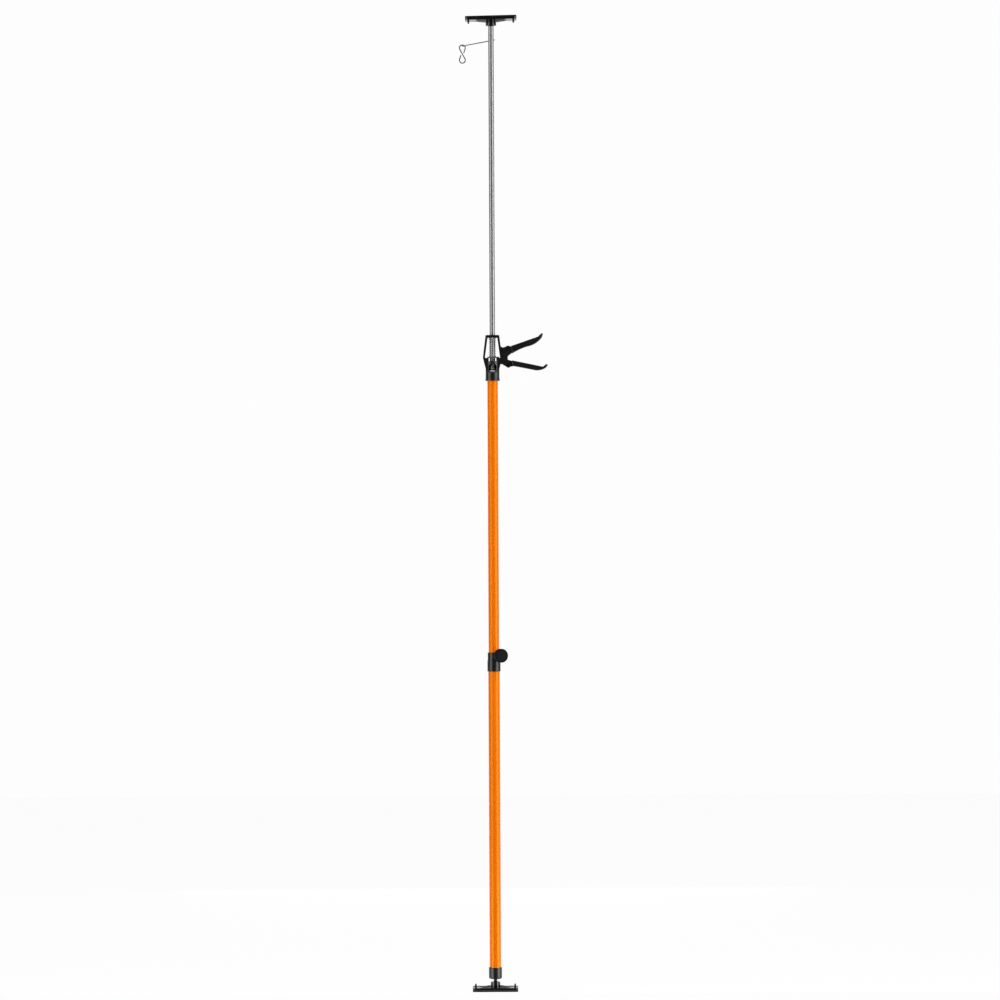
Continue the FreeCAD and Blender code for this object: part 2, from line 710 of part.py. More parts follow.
def grip_body():
    """Moulded socket, cage and cheeks; local Z = 0 at the socket's mouth, X from the rod axis."""
    body = new_body("grip_body")
    bead = socket + s.bead_thick
    turn(body, (
        (0, 0), (bead, 0), (bead, s.bead_height - s.bead_thick), (socket, s.bead_height),
        (socket, s.web_top), (0, s.web_top),
    ))
    wide = s.shoulder_width / 2
    neck_line = s.grip_height - s.cage_round
    root_x = socket - s.bead_thick * 2
    cage = (
        (-root_x, s.taper_start), (root_x, s.taper_start), (wide, s.shoulder_height),
        (wide, s.ledge_height + s.plate_thick), (socket, neck_line, s.cage_round),
        (socket - s.cage_round, s.grip_height), (s.cage_round - socket, s.grip_height, s.cage_round),
        (-socket, neck_line), (-wide, s.ledge_height + s.plate_thick), (-wide, s.shoulder_height),
    )
    pad(body, draw(new_sketch(body, "XZ_Plane"), cage), s.cage_depth, both_ways=True)
    pivot_x = s.pivot_reach
    pivot_z = s.pivot_height
    pin_x = s.handle_pin_reach
    pin_z = s.handle_pin_height
    turn_in = s.cheek_round * 0.643
    rise_in = s.cheek_round * 0.766
    boss_in = s.handle_boss * 0.75
    boss_low = s.handle_boss * 0.661
    cheeks = (
        (0, s.chamber_top), (s.floor_reach, s.chamber_top - s.web_top + s.chamber_top),
        (pin_x - boss_in, pin_z - boss_low, s.handle_boss), (pin_x + s.handle_boss, pin_z),
        (pin_x + boss_low, pin_z + s.handle_boss * 1.4), (s.crotch_reach, pin_z + s.handle_boss * 2),
        (s.crotch_reach, pivot_z - s.trigger_boss * 2), (pivot_x + turn_in, pivot_z - rise_in, s.cheek_round),
        (pivot_x, pivot_z + s.cheek_round), (s.floor_reach, pivot_z + s.cheek_round / 2, -s.cheek_round * 2),
        (socket, s.slot_top + s.cheek_round), (0, s.slot_top + s.cheek_round),
    )
    pad(body, draw(new_sketch(body, "XZ_Plane"), cheeks), s.cheek_width, both_ways=True)
    ledge = s.ledge_gap / 2
    inner = wide - s.leg_thick
    inner_top = s.grip_height - s.top_bar
    narrow = socket - s.leg_thick
    window = (
        (-ledge, s.web_top), (ledge, s.web_top), (ledge, s.ledge_height), (inner, s.ledge_height),
        (inner, s.ledge_height + s.plate_thick), (narrow, inner_top), (-narrow, inner_top),
        (-inner, s.ledge_height + s.plate_thick), (-inner, s.ledge_height), (-ledge, s.ledge_height),
    )
    pocket(body, draw(new_sketch(body, "XZ_Plane"), window), s.shoulder_width, both_ways=True)
    beyond = s.handle_reach
    slot = (
        (ledge, s.web_top), (s.floor_reach, s.web_top), (s.floor_reach, 0), (beyond, 0),
        (beyond, s.slot_top), (ledge, s.slot_top),
    )
    pocket(body, draw(new_sketch(body, "XZ_Plane"), slot), s.slot_width, both_ways=True)
    seat = s.upper_tube_diameter / 2
    chamber = s.chamber_diameter / 2
    rod_hole = rod + s.rod_hole_play
    turn(body, (
        (0, 0), (seat, 0), (seat, s.tube_seat), (chamber, s.tube_seat), (chamber, s.chamber_top),
        (rod_hole, s.chamber_top), (rod_hole, s.web_top), (0, s.web_top),
    ), cut=True)
    half = s.release_window / 2
    arch_top = s.chamber_top - s.edge_bevel
    spring_line = arch_top - half
    release = (
        (-half, s.tube_seat + s.edge_bevel), (half, s.tube_seat + s.edge_bevel),
        (half, spring_line, half), (0, arch_top, half), (-half, spring_line),
    )
    pocket(body, draw(new_sketch(body, "XZ_Plane"), release), s.shoulder_width, back=True)
    rest_top = s.lock_height - s.plate_thick / 2 - s.seat_play * 1.5
    rest_half = s.tongue_width / 4
    rest = (
        (-rest_half, s.tube_seat), (rest_half, s.tube_seat), (rest_half, rest_top), (-rest_half, rest_top),
    )
    wall = chamber + s.edge_bevel
    pad(body, draw(new_sketch(body, "XZ_Plane", -wall), rest), wall - s.lock_rear + s.plate_thick)
    bar_middle = s.grip_height - s.top_bar / 2
    bush_hole = draw_circle(new_sketch(body, "XY_Plane", bar_middle), 0, 0, s.bush_diameter / 2)
    pocket(body, bush_hole, s.top_bar * 2, both_ways=True)
    pin = s.pin_diameter / 2
    for x, z in ((pivot_x, pivot_z), (pin_x, pin_z)):
        pocket(body, draw_circle(new_sketch(body, "XZ_Plane"), x, z, pin), s.cheek_width, both_ways=True)
    rivet_z = s.tube_seat / 2
    rivet_hole = draw_circle(new_sketch(body, "XZ_Plane"), 0, rivet_z, s.rivet_diameter / 2)
    pocket(body, rivet_hole, bead * 2)
    spot = draw_circle(new_sketch(body, "XZ_Plane", s.edge_bevel - socket), 0, rivet_z, s.rivet_diameter)
    pocket(body, spot, s.shoulder_width)
    place(body, z=grip_z)


def pins_and_bush():
    """Pins of the two handles, the rod's bush in the top bar and the rivet in the socket."""
    pin = s.pin_diameter / 2
    head = s.pin_head / 2
    flush = s.cheek_width / 2
    outer = flush + s.pin_head_thick
    for label, x, z in (
        ("trigger_pin", s.pivot_reach, s.pivot_height),
        ("handle_pin", s.handle_pin_reach, s.handle_pin_height),
    ):
        body = new_body(label)
        turn(body, (
            (0, -outer), (head, -outer), (head, -flush), (pin, -flush), (pin, flush), (head, flush),
            (head, outer), (0, outer),
        ))
        place(body, x=x, z=grip_z + z, roll=90)

    bush = new_body("rod_bush")
    bore = rod + s.rod_play
    low = s.grip_height - s.top_bar - s.bush_drop
    outside = s.bush_diameter / 2
    turn(bush, ((bore, low), (outside, low), (outside, s.grip_height), (bore, s.grip_height)))
    place(bush, z=grip_z)

    rivet = new_body("socket_rivet")
    shank = s.rivet_diameter / 2
    seat = socket - s.edge_bevel
    turn(rivet, (
        (0, upper_inside), (shank, upper_inside), (shank, seat), (s.rivet_diameter, seat),
        (s.rivet_diameter, seat + s.pin_head_thick), (0, seat + s.pin_head_thick),
    ))
    place(rivet, z=grip_z + s.tube_seat / 2, roll=-90)


def shares(x, z, length, points):
    """Outline points given as shares of a length from (x, z); a third share is an arc's radius."""
    return [(x + length * point[0], z + length * point[1]) + tuple(length * arc for arc in point[2:])
            for point in points]


def handle_body(label, handle, lug, x, z, bore):
    """Wide handle with rounded edges on a narrower lug that is bored for its pin at (x, z)."""
    body = new_body(label)
    pad(body, draw(new_sketch(body, "XZ_Plane"), handle), s.handle_width, both_ways=True)
    width = s.slot_width - s.lug_play * 2
    whole = pad(body, draw(new_sketch(body, "XZ_Plane"), lug), width, both_ways=True)
    soften(body, whole, s.handle_width, s.handle_round)
    pocket(body, draw_circle(new_sketch(body, "XZ_Plane"), x, z, bore), s.handle_width, both_ways=True)
    place(body, z=grip_z)


def trigger():
    """Upper handle with its boss on the pivot and a toe under the drive plate."""
    x = s.pivot_reach
    z = s.pivot_height
    span = s.trigger_reach - x
    handle = shares(x, z, span, (
        (0.106, -0.130), (0.243, -0.056, -1.442), (0.575, 0.076, 0.654), (0.9635, 0.321),
        (1.0, 0.4135, 0.048), (0.9615, 0.452), (0.852, 0.350), (0.079, 0.085),
    ))
    boss = s.trigger_boss
    toe_low = s.ledge_height - s.toe_thick
    lug = (
        (s.toe_reach, toe_low), (x - span * 0.178, toe_low), (x - span * 0.0135, z - span * 0.21),
        (x + span * 0.106, z - span * 0.111), (x + span * 0.221, z - span * 0.038),
        (x + span * 0.202, z + span * 0.106), (x + boss * 0.643, z + boss * 0.766, boss),
        (x - boss * 0.985, z + boss * 0.174), (x - span * 0.163, z - span * 0.173),
        (x - span * 0.183, s.ledge_height), (s.toe_reach, s.ledge_height),
    )
    handle_body("trigger", handle, lug, x, z, s.pin_diameter / 2 + s.pin_fit)


def fixed_handle():
    """Lower handle, pinned between the cheeks with its heel against the bracket's floor."""
    x = s.handle_pin_reach
    z = s.handle_pin_height
    span = s.handle_reach - x
    handle = shares(x, z, span, (
        (0.0936, -0.0204), (0.63, -0.126, 0.383), (0.949, -0.075), (1.0, -0.0145, 0.0426),
        (0.9566, 0.0187), (0.8766, -0.0468), (0.0936, 0.1174),
    ))
    boss = s.handle_boss
    lug = (
        (s.floor_reach, z + boss * 0.2), (x - boss * 0.75, z - boss * 0.661, boss),
        (x + boss * 0.75, z - boss * 0.661), (x + span * 0.204, z - span * 0.017),
        (x + span * 0.204, z + span * 0.068), (x + span * 0.0766, z + span * 0.1064),
        (x, z + boss * 1.9), (s.floor_reach, z + boss * 1.2),
    )
    handle_body("fixed_handle", handle, lug, x, z, s.pin_diameter / 2)


def plates():
    """Drive plate on its ledges and lock plate in its chamber, both round the rod."""
    hole = rod + s.plate_hole_play
    drive = new_body("drive_plate")
    half = s.plate_width / 2
    outline = (
        (-s.drive_left, -half), (s.drive_right, -half), (s.drive_right, half), (-s.drive_left, half),
    )
    blank = draw(new_sketch(drive, "XY_Plane"), outline)
    pad(drive, draw_circle(blank, 0, 0, hole), s.plate_thick)
    place(drive, z=grip_z + s.ledge_height + s.seat_play)

    lock = new_body("lock_plate")
    radius = s.chamber_diameter / 2 - s.seat_play * 2
    centre = -s.lock_rear / cosine(s.lock_angle)
    rear = root(radius * radius - centre * centre)
    tongue = s.tongue_width / 2
    root_y = centre - root(radius * radius - tongue * tongue)
    front = -s.lock_rear - s.lock_tongue
    outline = (
        (-tongue, front), (tongue, front), (tongue, root_y, radius), (radius, centre, radius),
        (rear, 0), (-rear, 0, radius), (-radius, centre, radius), (-tongue, root_y),
    )
    blank = draw(new_sketch(lock, "XY_Plane"), outline)
    pad(lock, draw_circle(blank, 0, centre, hole), s.plate_thick, both_ways=True)
    place(lock, y=s.lock_rear, z=grip_z + s.lock_height, roll=s.lock_angle)


def coil_spring(label, wire, coils, low, high):
    """Coil round the rod between two heights above the socket's mouth."""
    radius = rod + s.spring_play + wire / 2
    helix = doc.addObject("Part::Helix", label + "_path")
    rise = high - low - wire
    bind(helix, "Radius", radius)
    bind(helix, "Height", rise)
    bind(helix, "Pitch", rise / coils)
    ring = doc.addObject("Part::Circle", label + "_section")
    bind(ring, "Radius", wire / 2)
    place(ring, x=radius, roll=90)
    doc.recompute()
    spring = named(doc.addObject("Part::Sweep", label), label)
    spring.Sections = [ring]
    spring.Spine = (helix, ["Edge%d" % (index + 1) for index in range(len(helix.Shape.Edges))])
    spring.Solid = True
    spring.Frenet = True
    place(spring, z=grip_z + low + wire / 2)


def springs():
    """Drive spring under the top bar and lock spring over the lock plate."""
    drive_low = s.ledge_height + s.plate_thick + s.seat_play * 2
    drive_high = s.grip_height - s.top_bar - s.bush_drop - s.seat_play
    coil_spring("drive_spring", s.drive_wire, s.drive_coils, drive_low, drive_high)
    lock_low = s.lock_height + s.plate_thick / 2 + s.seat_play
    lock_high = s.chamber_top - s.seat_play
    coil_spring("lock_spring", s.lock_wire, s.lock_coils, lock_low, lock_high)


def push_rod():
    """Bright steel rod with a sloping cross hole for the hook arm, and its guide."""
    body = new_body("push_rod")
    turn(body, (
        (rod_inside, 0), (rod, 0), (rod, s.rod_length - s.rod_bevel), (rod - s.rod_bevel, s.rod_length),
        (rod_inside, s.rod_length),
    ))
    hole = new_sketch(body, "YZ_Plane")
    height = s.rod_length - s.arm_drop
    hole.setExpression("AttachmentOffset", "placement(vector(0; %s; 0); rotation(vector(1; 0; 0); %s))"
                       % (height.formula, (-s.arm_slope).formula))
    draw_circle(hole, 0, 0, s.arm_wire / 2)
    pocket(body, hole, s.rod_diameter * 2, both_ways=True)
    place(body, z=rod_z)

    guide = new_body("rod_guide")
    flange = upper_inside - s.guide_fit * 2
    spigot = rod_inside - s.spigot_fit
    top = s.rod_guide_flange + s.rod_guide_spigot
    turn(guide, (
        (0, 0), (flange, 0), (flange, s.rod_guide_flange), (spigot, s.rod_guide_flange), (spigot, top),
        (0, top),
    ))
    place(guide, z=rod_z - s.rod_guide_flange)


def hook():
    """Wire arm with a ring eye through the rod, and the S-hook that hangs on the eye's far side."""
    along = cosine(s.arm_slope)
    fall = sine(s.arm_slope)
    wire = s.arm_wire / 2
    bar = doc.addObject("Part::Cylinder", "hook_arm_bar")
    bind(bar, "Radius", wire)
    bind(bar, "Height", s.arm_stub + s.eye_reach - s.eye_radius - wire / 2)
    place(bar, x=along * s.arm_stub, z=fall * s.arm_stub, pitch=-s.arm_slope - 90)
    eye = doc.addObject("Part::Torus", "hook_arm_eye")
    bind(eye, "Radius1", s.eye_radius)
    bind(eye, "Radius2", wire)
    place(eye, x=-along * s.eye_reach, z=-fall * s.eye_reach, pitch=-s.arm_slope)
    arm = named(doc.addObject("Part::Fuse", "hook_arm"), "hook_arm")
    arm.Base = bar
    arm.Tool = eye
    place(arm, z=arm_z)

    body = new_body("s_hook")
    radius = s.hook_radius
    upper_z = wire + s.hook_wire / 2 + s.seat_play - radius
    lower_z = upper_z - s.hook_pitch
    lean = arcsine(radius * 2 / s.hook_pitch)
    side = radius * cosine(lean)
    drop = radius * sine(lean)
    mouth_x = radius * cosine(s.hook_mouth)
    mouth_z = radius * sine(s.hook_mouth)
    tail_x = mouth_x - s.hook_tail * sine(s.hook_mouth)
    tail_z = mouth_z + s.hook_tail * cosine(s.hook_mouth)
    path = draw(new_sketch(body, "XZ_Plane"), (
        (tail_x, upper_z - tail_z), (mouth_x, upper_z - mouth_z, radius),
        (0, upper_z + radius, radius), (-side, upper_z - drop),
        (side, lower_z + drop, -radius), (0, lower_z - radius, -radius),
        (-mouth_x, lower_z + mouth_z), (-tail_x, lower_z + tail_z),
    ), closed=False)
    section = new_sketch(body, "XY_Plane")
    section.setExpression("AttachmentOffset", "placement(vector(%s; 0; %s); rotation(vector(0; 1; 0); %s))"
                          % (tail_x.formula, (upper_z - tail_z).formula, s.hook_mouth.formula))
    draw_circle(section, 0, 0, s.hook_wire / 2)
    bend = body.newObject("PartDesign::AdditivePipe", "s_hook_bend")
    bend.Profile = section
    bend.Spine = path
    hang = s.eye_reach + s.eye_radius
    place(body, x=-along * hang, z=arm_z - fall * hang)


def head():
    """Ball stud in the rod's end, liner, plate, seat and rubber sole of the head."""
    base = -s.head_ball_depth - s.head_plate_thick
    places = tail_places(s.head_length, s.head_tail_inset)
    stud = new_body("head_ball_stud")
    shank = rod_inside - s.spigot_fit
    shoulder = rod - s.rod_bevel - s.rod_play
    cone = neck_rise + (s.head_ball_rise - neck_rise) / 2
    end = s.head_ball_rise + s.head_shank
    turn(stud, (
        (0, -ball, ball), (ball, 0, ball), (neck, neck_rise), (neck, cone), (shoulder, s.head_ball_rise),
        (shank, s.head_ball_rise), (shank, end), (0, end),
    ))
    liner = ball_liner("head_ball_liner", s.head_tilt)
    for part in (stud, liner):
        place(part, z=head_ball_z, roll=180)
    for part in (
        head_plate(base, places),
        ball_seat("head_ball_seat", base),
        rubber_pad("head_pad", s.head_length, s.head_width, places, base,
                   s.head_plate_thick, s.head_tail_length),
    ):
        place(part, z=head_ball_z, pitch=-s.head_lean, roll=180)


foot()
foot_cap()
tube("lower_tube", s.lower_tube_diameter, s.tube_wall, s.lower_tube_length, lower_tube_z)
clamp()
upper_tube()
grip_body()
pins_and_bush()
trigger()
fixed_handle()
plates()
springs()
push_rod()
hook()
head()

doc.recompute()
for thing in doc.Objects:
    if "Invalid" in thing.State or "Error" in thing.State:
        raise RuntimeError("%s did not build" % thing.Name)
for piece in pieces:
    if piece.Shape.isNull() or not piece.Shape.isValid():
        raise RuntimeError("%s has no valid shape" % piece.Label)
os.makedirs("parts", exist_ok=True)
for piece in pieces:
    piece.Shape.exportStep("parts/%s.step" % piece.Label)
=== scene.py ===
import math
import bpy
import numpy as np
from mathutils import Matrix, Vector


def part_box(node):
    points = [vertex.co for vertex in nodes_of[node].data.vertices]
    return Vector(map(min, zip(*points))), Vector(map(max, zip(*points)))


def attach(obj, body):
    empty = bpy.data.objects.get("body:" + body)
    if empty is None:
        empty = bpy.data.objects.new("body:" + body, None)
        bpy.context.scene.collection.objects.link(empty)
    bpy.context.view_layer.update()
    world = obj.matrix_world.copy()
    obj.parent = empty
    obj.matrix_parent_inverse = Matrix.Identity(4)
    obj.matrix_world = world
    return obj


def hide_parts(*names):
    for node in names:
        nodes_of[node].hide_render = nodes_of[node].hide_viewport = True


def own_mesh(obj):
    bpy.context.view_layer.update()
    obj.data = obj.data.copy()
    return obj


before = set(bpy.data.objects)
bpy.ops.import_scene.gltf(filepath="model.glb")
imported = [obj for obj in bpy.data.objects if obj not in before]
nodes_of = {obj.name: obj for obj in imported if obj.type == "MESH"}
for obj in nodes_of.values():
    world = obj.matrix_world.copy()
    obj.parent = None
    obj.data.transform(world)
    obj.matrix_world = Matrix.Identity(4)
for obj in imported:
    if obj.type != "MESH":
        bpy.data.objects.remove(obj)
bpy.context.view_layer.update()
scene = bpy.context.scene


# Camera: level with the prop's middle and far away, with a long lens that takes in its full height.
# A pixel of the photo is METRES_PER_PIXEL wide at the prop, and the photo leans by a small roll.
PHOTO_PIXELS = 1000
METRES_PER_PIXEL = 0.0029757
SENSOR_WIDTH = 36.0
DISTANCE = 12.1
FAR_LIMIT = 100.0
AIM = Vector((0.0203, 0.0, 1.4604))
ROLL = math.radians(-0.28)
camera_data = bpy.data.cameras.new("camera")
camera_data.sensor_width = SENSOR_WIDTH
camera_data.lens = SENSOR_WIDTH * DISTANCE / (PHOTO_PIXELS * METRES_PER_PIXEL)
camera_data.clip_end = FAR_LIMIT
camera = bpy.data.objects.new("camera", camera_data)
camera.location = AIM + Vector((0.0, -DISTANCE, 0.0))
level = Matrix.Rotation(math.radians(90), 4, "X")
camera.rotation_euler = (level @ Matrix.Rotation(ROLL, 4, "Z")).to_euler()
scene.collection.objects.link(camera)
scene.camera = camera
scene.view_settings.view_transform = "Standard"


# World: near white for the camera. Glossy rays see a pale backdrop behind the prop, which fades to a dark
# studio at its sides and in front of it. All other rays see an even, weak white.
SEEN_STRENGTH = 0.985
AMBIENT_STRENGTH = 0.20
BACKDROP_GREY = 0.8
BACKDROP_STRENGTH = 1.0
STUDIO_STRENGTH = 0.06
BACKDROP_EDGE = 0.9
STUDIO_EDGE = 0.3


def background(tree, grey, strength):
    """Background node of an even grey."""
    node = tree.nodes.new("ShaderNodeBackground")
    node.inputs["Color"].default_value = (grey, grey, grey, 1)
    node.inputs["Strength"].default_value = strength
    return node


def any_ray(tree, *kinds):
    """Socket that is 1 for a ray of any of these kinds, else 0: the largest of their Light Path outputs."""
    rays = tree.nodes.new("ShaderNodeLightPath")
    found = rays.outputs[kinds[0]]
    for kind in kinds[1:]:
        larger = tree.nodes.new("ShaderNodeMath")
        larger.operation = "MAXIMUM"
        tree.links.new(found, larger.inputs[0])
        tree.links.new(rays.outputs[kind], larger.inputs[1])
        found = larger.outputs[0]
    return found


def mixed(tree, share, first, second):
    """Shader node that goes from the first at share 0 to the second at share 1."""
    mix = tree.nodes.new("ShaderNodeMixShader")
    tree.links.new(share, mix.inputs[0])
    tree.links.new(first.outputs[0], mix.inputs[1])
    tree.links.new(second.outputs[0], mix.inputs[2])
    return mix


world = bpy.data.worlds.new("studio")
scene.world = world
world.use_nodes = True
tree = world.node_tree
tree.nodes.clear()
output = tree.nodes.new("ShaderNodeOutputWorld")
where = tree.nodes.new("ShaderNodeTexCoord")
direction = tree.nodes.new("ShaderNodeSeparateXYZ")
tree.links.new(where.outputs["Generated"], direction.inputs[0])
fade = tree.nodes.new("ShaderNodeMapRange")
fade.inputs["From Min"].default_value = STUDIO_EDGE
fade.inputs["From Max"].default_value = BACKDROP_EDGE
fade.inputs["To Min"].default_value = STUDIO_STRENGTH
fade.inputs["To Max"].default_value = BACKDROP_STRENGTH
tree.links.new(direction.outputs["Y"], fade.inputs["Value"])
seen = background(tree, 1.0, SEEN_STRENGTH)
ambient = background(tree, 1.0, AMBIENT_STRENGTH)
reflected = background(tree, BACKDROP_GREY, BACKDROP_STRENGTH)
tree.links.new(fade.outputs["Result"], reflected.inputs["Strength"])
unseen = mixed(tree, any_ray(tree, "Is Glossy Ray", "Is Transmission Ray"), ambient, reflected)
studio = mixed(tree, any_ray(tree, "Is Camera Ray"), unseen, seen)
tree.links.new(studio.outputs[0], output.inputs["Surface"])


# Lights: a tall strip softbox on each side, in front of the prop, and a weak panel overhead. Two low strips
# stand nearer, so that the cap and hub at the floor show the same stripes as the tubes above them. A wide
# panel fills the back, and isn't mirrored.
STRIP_HEIGHT = 1.75
TALL_STRIP = (1.7, 4.6)
LOW_HEIGHT = 0.06
LOW_STRIP = (0.54, 0.36)
TOP_PANEL = (1.6, 1.6)
BACK_PANEL = (2.4, 4.6)


def strip_light(name, place, size, power, mirrored=True):
    """Area light of this size in metres and power in watts. It faces the prop's axis at its own height, or at
    STRIP_HEIGHT where it hangs higher."""
    data = bpy.data.lights.new(name, "AREA")
    data.shape = "RECTANGLE"
    data.size, data.size_y = size
    data.energy = power
    light = bpy.data.objects.new(name, data)
    light.location = place
    aim = Vector((0, 0, min(place[2], STRIP_HEIGHT)))
    light.rotation_euler = (aim - Vector(place)).to_track_quat("-Z", "Y").to_euler()
    light.visible_camera = False
    light.visible_glossy = mirrored
    scene.collection.objects.link(light)


strip_light("left_strip", (-1.96, -1.32, STRIP_HEIGHT), TALL_STRIP, power=69)
strip_light("right_strip", (2.08, -1.12, STRIP_HEIGHT), TALL_STRIP, power=98)
strip_light("low_left", (-0.62, -0.42, LOW_HEIGHT), LOW_STRIP, power=1.1)
strip_light("low_right", (0.66, -0.36, LOW_HEIGHT), LOW_STRIP, power=1.4)
strip_light("overhead", (0.0, -0.6, 4.6), TOP_PANEL, power=14)
strip_light("back_fill", (0.0, 3.2, STRIP_HEIGHT), BACK_PANEL, power=60, mirrored=False)


# Floor: plain and near white, with the prop's soft contact shadow. It starts just in front of the foot, so
# that the foot's front mirrors the dark studio and not a bright floor.
FLOOR_SIDE = 6
FLOOR_FRONT = -0.08
FLOOR_BACK = 8
FLOOR_GREY = 0.86
GLOW_SHARE = 0.96
GLOW_STRENGTH = 1.0
floor_mesh = bpy.data.meshes.new("floor")
floor_mesh.from_pydata([(-FLOOR_SIDE, FLOOR_FRONT, 0), (FLOOR_SIDE, FLOOR_FRONT, 0),
                        (FLOOR_SIDE, FLOOR_BACK, 0), (-FLOOR_SIDE, FLOOR_BACK, 0)], [], [(0, 1, 2, 3)])
floor = bpy.data.objects.new("floor", floor_mesh)
scene.collection.objects.link(floor)
floor_look = bpy.data.materials.new("floor")
floor_look.use_nodes = True
tree = floor_look.node_tree
tree.nodes.clear()
output = tree.nodes.new("ShaderNodeOutputMaterial")
matt = tree.nodes.new("ShaderNodeBsdfDiffuse")
matt.inputs["Color"].default_value = (FLOOR_GREY, FLOOR_GREY, FLOOR_GREY, 1)
glow = tree.nodes.new("ShaderNodeEmission")
glow.inputs["Strength"].default_value = GLOW_STRENGTH
share = tree.nodes.new("ShaderNodeMath")
share.operation = "MULTIPLY"
share.inputs[1].default_value = GLOW_SHARE
seen_or_mirrored = any_ray(tree, "Is Camera Ray", "Is Glossy Ray", "Is Transmission Ray")
tree.links.new(seen_or_mirrored, share.inputs[0])
tree.links.new(mixed(tree, share.outputs[0], matt, glow).outputs[0], output.inputs["Surface"])
floor_mesh.materials.append(floor_look)


# Foot: a moulded plate with a hub and four gussets on a rubber sole, whose tails come up through the plate.
# A steel ball stud sits in the hub between a nylon seat and a nylon liner, so that the foot can tilt.
BLACK = (0.003, 0.003, 0.0032)
WORN_BLACK = (0.006, 0.006, 0.0063)
CLOUD_DETAIL = 4.0
CLOUD_ENDS = (0.3, 0.7)
SPECK_DETAIL = 2.0
SPECK_DEPTH = 0.0005


def surface(name, dark, light, rough, grain, bump, metal=0.0, scale=(60, 60, 60), **sockets):
    """Material whose colour runs from dark to light, and its roughness from rough[0] to rough[1], with one
    cloudy noise of this scale. A finer noise of scale grain gives the relief. Other sockets get one value."""
    material = bpy.data.materials.new(name)
    material.use_nodes = True
    tree = material.node_tree
    shader = tree.nodes["Principled BSDF"]
    shader.inputs["Metallic"].default_value = metal
    for socket, value in sockets.items():
        shader.inputs[socket.replace("_", " ")].default_value = value
    where = tree.nodes.new("ShaderNodeTexCoord")
    stretch = tree.nodes.new("ShaderNodeMapping")
    stretch.inputs["Scale"].default_value = scale
    tree.links.new(where.outputs["Object"], stretch.inputs["Vector"])
    cloud = tree.nodes.new("ShaderNodeTexNoise")
    cloud.inputs["Scale"].default_value = 1.0
    cloud.inputs["Detail"].default_value = CLOUD_DETAIL
    tree.links.new(stretch.outputs["Vector"], cloud.inputs["Vector"])
    ramp = tree.nodes.new("ShaderNodeValToRGB")
    for stop, position, colour in zip(ramp.color_ramp.elements, CLOUD_ENDS, (dark, light)):
        stop.position = position
        stop.color = (*colour, 1)
    tree.links.new(cloud.outputs["Fac"], ramp.inputs["Fac"])
    tree.links.new(ramp.outputs["Color"], shader.inputs["Base Color"])
    shine = tree.nodes.new("ShaderNodeMapRange")
    shine.inputs["To Min"].default_value = rough[0]
    shine.inputs["To Max"].default_value = rough[1]
    tree.links.new(cloud.outputs["Fac"], shine.inputs["Value"])
    tree.links.new(shine.outputs["Result"], shader.inputs["Roughness"])
    speck = tree.nodes.new("ShaderNodeTexNoise")
    speck.inputs["Scale"].default_value = grain
    speck.inputs["Detail"].default_value = SPECK_DETAIL
    tree.links.new(where.outputs["Object"], speck.inputs["Vector"])
    relief = tree.nodes.new("ShaderNodeBump")
    relief.inputs["Strength"].default_value = bump
    relief.inputs["Distance"].default_value = SPECK_DEPTH
    tree.links.new(speck.outputs["Fac"], relief.inputs["Height"])
    tree.links.new(relief.outputs["Normal"], shader.inputs["Normal"])
    return material


def dress(material, *nodes):
    """Give these CAD nodes the material."""
    for node in nodes:
        mesh = nodes_of[node].data
        mesh.materials.clear()
        mesh.materials.append(material)


smooth_moulding = surface("smooth_moulding", BLACK, WORN_BLACK, (0.05, 0.09), grain=1200, bump=0.01)
sole_rubber = surface("sole_rubber", (0.004, 0.004, 0.004), (0.009, 0.009, 0.009), (0.55, 0.70),
                      grain=900, bump=0.15, Specular_IOR_Level=0.10)
nylon = surface("pale_nylon", (0.60, 0.58, 0.53), (0.70, 0.68, 0.63), (0.40, 0.52), grain=1200, bump=0.04)
dark_steel = surface("dark_steel", (0.022, 0.022, 0.023), (0.045, 0.045, 0.046), (0.30, 0.44), metal=1.0,
                     scale=(90, 90, 90), grain=900, bump=0.05)
dress(smooth_moulding, "foot_plate")
dress(sole_rubber, "foot_pad")
dress(nylon, "foot_ball_seat", "foot_ball_liner")
dress(dark_steel, "foot_ball_stud")


# Lower tube: drawn steel tube with an orange powder coat, pressed into a moulded cap at the foot.
# The cap is the same grained black plastic as the collar and the grip.
paint = surface("orange_paint", (0.74, 0.126, 0.0004), (0.80, 0.143, 0.001), (0.26, 0.34),
                scale=(30, 30, 6), grain=700, bump=0.04, Specular_IOR_Level=0.75,
                Specular_Tint=(1.0, 0.72, 0.05, 1.0))
moulding = surface("black_moulding", BLACK, WORN_BLACK, (0.27, 0.36), grain=1600, bump=0.08)
dress(paint, "lower_tube")
dress(moulding, "foot_cap")


# Clamp: a moulded collar on the lower tube's end, with a knob on a steel screw in its boss.
# The screw runs in a captive nut and presses a nylon pad on the upper tube.
knob_plastic = surface("knob_plastic", BLACK, WORN_BLACK, (0.50, 0.62), grain=1600, bump=0.10,
                       Specular_IOR_Level=0.07)
plate_steel = surface("zinc_plate", (0.18, 0.18, 0.185), (0.28, 0.28, 0.285), (0.32, 0.46), metal=1.0,
                      scale=(90, 90, 90), grain=900, bump=0.05)
dress(moulding, "clamp_collar")
dress(knob_plastic, "clamp_knob")
dress(plate_steel, "clamp_screw", "clamp_nut")
dress(nylon, "clamp_pad")


# Upper tube: the same painted steel tube, a size smaller, drawn out of the lower one.
# A flanged nylon guide is plugged into its lower end and runs in the lower tube.
dress(paint, "upper_tube")
dress(nylon, "tube_guide")


